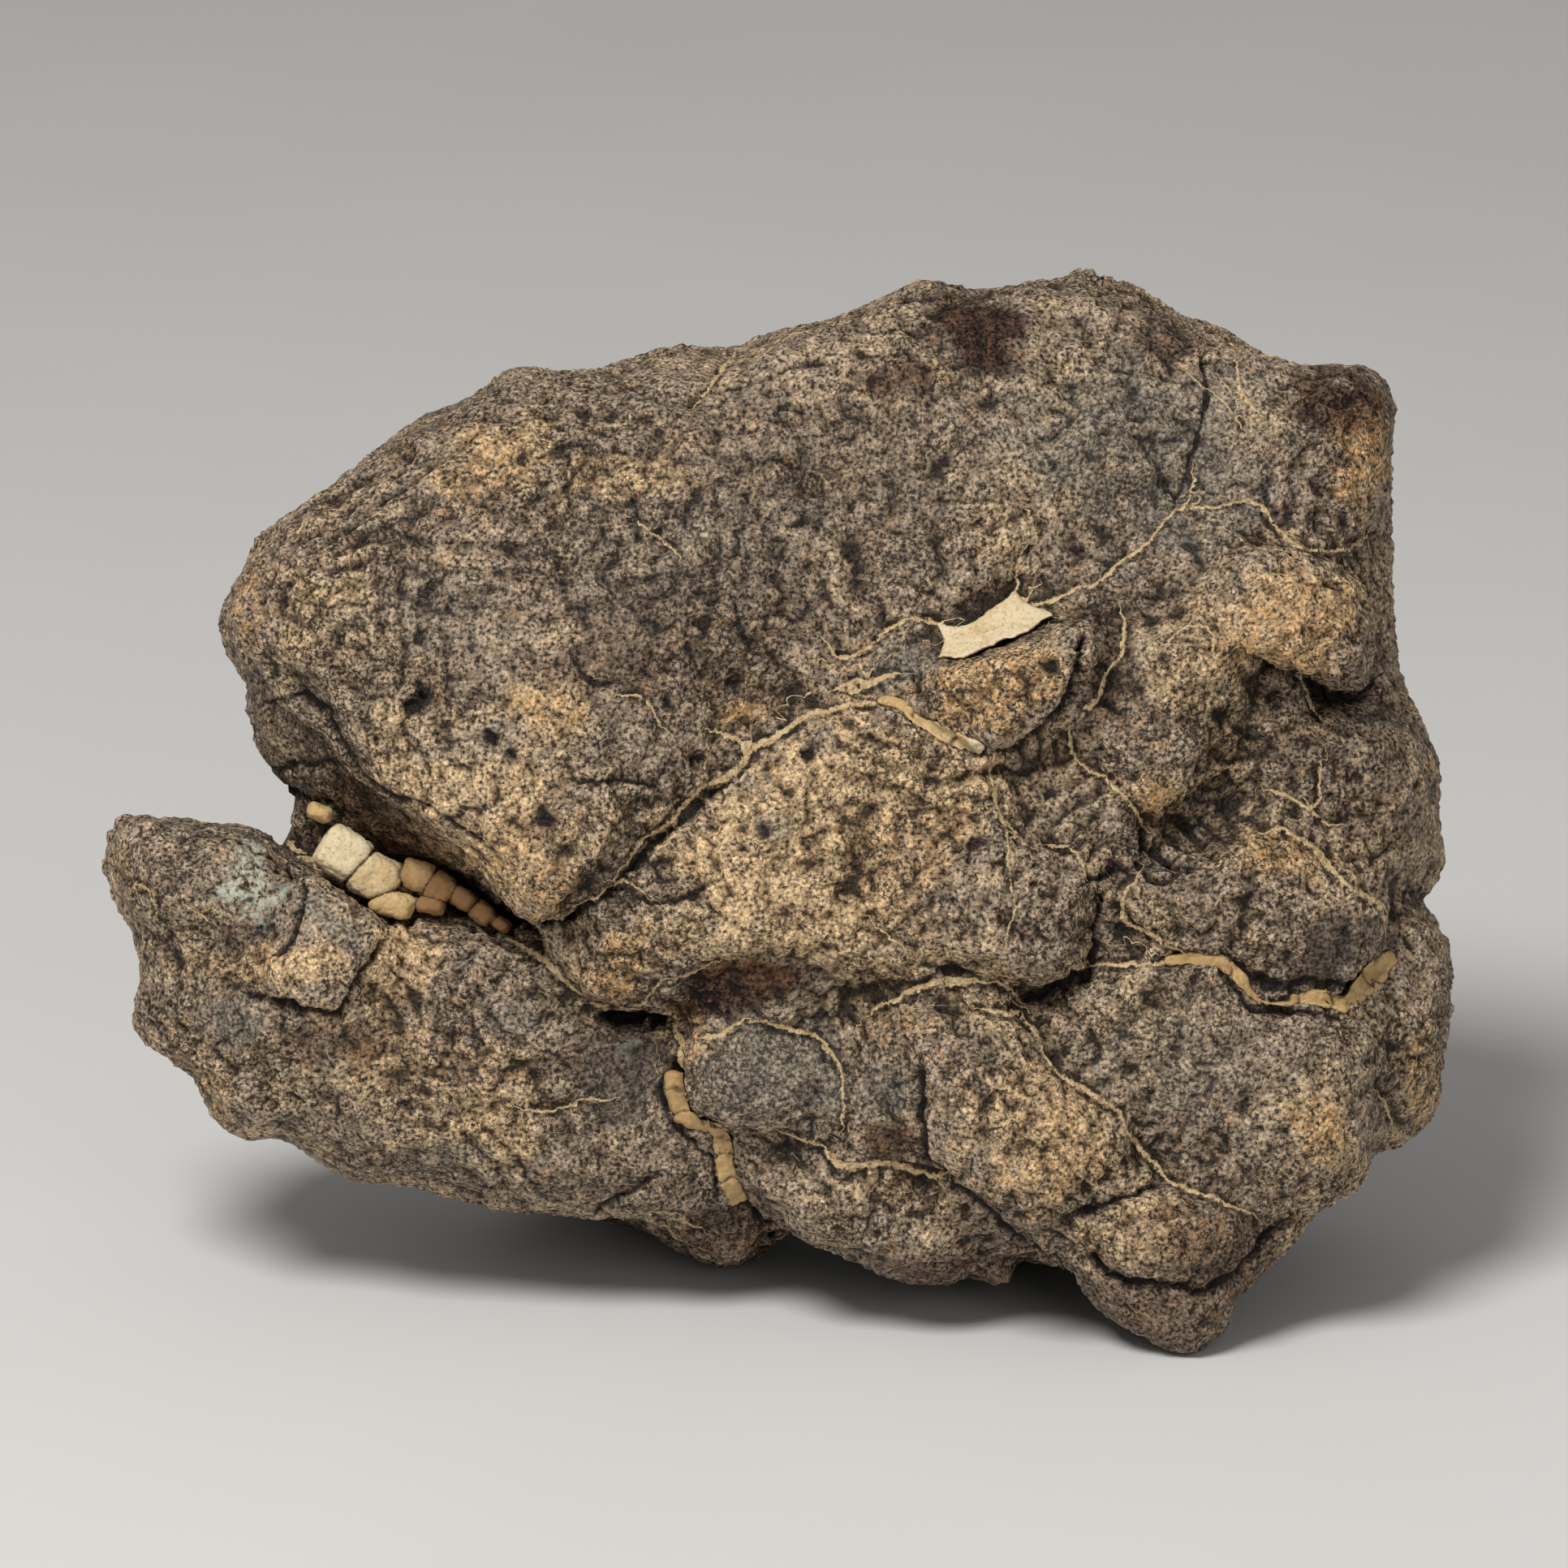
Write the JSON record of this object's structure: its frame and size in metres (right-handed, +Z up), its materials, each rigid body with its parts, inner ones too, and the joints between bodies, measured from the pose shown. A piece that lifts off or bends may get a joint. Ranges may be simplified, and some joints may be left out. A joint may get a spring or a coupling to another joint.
{
  "type": "chondrite meteorite",
  "caption": "Weathered stony meteorite, a leaning slab of overlapping plates and pillows with pale mineral seams and an open crack at the left, resting on small worn spots.",
  "frame": {"origin": "on the ground, under the middle of the stone's box", "axes": "+Z up, +X to the right along the stone's length as its broad face is seen, +Y from the broad face to the back"},
  "size_m": [0.119, 0.0682, 0.0867],
  "materials": {
    "stone": "rough, fine-grained grey-brown stone with rust stains and worn pits",
    "caliche": "dull chalky cream to tan mineral crust"
  },
  "bodies": {
    "root": {"stone": "stone", "caliche_fracture_fill": "caliche", "caliche_lower_seam": "caliche", "caliche_right_seam": "caliche", "caliche_centre_seam": "caliche", "caliche_patch": "caliche"}
  },
  "joints": []
}
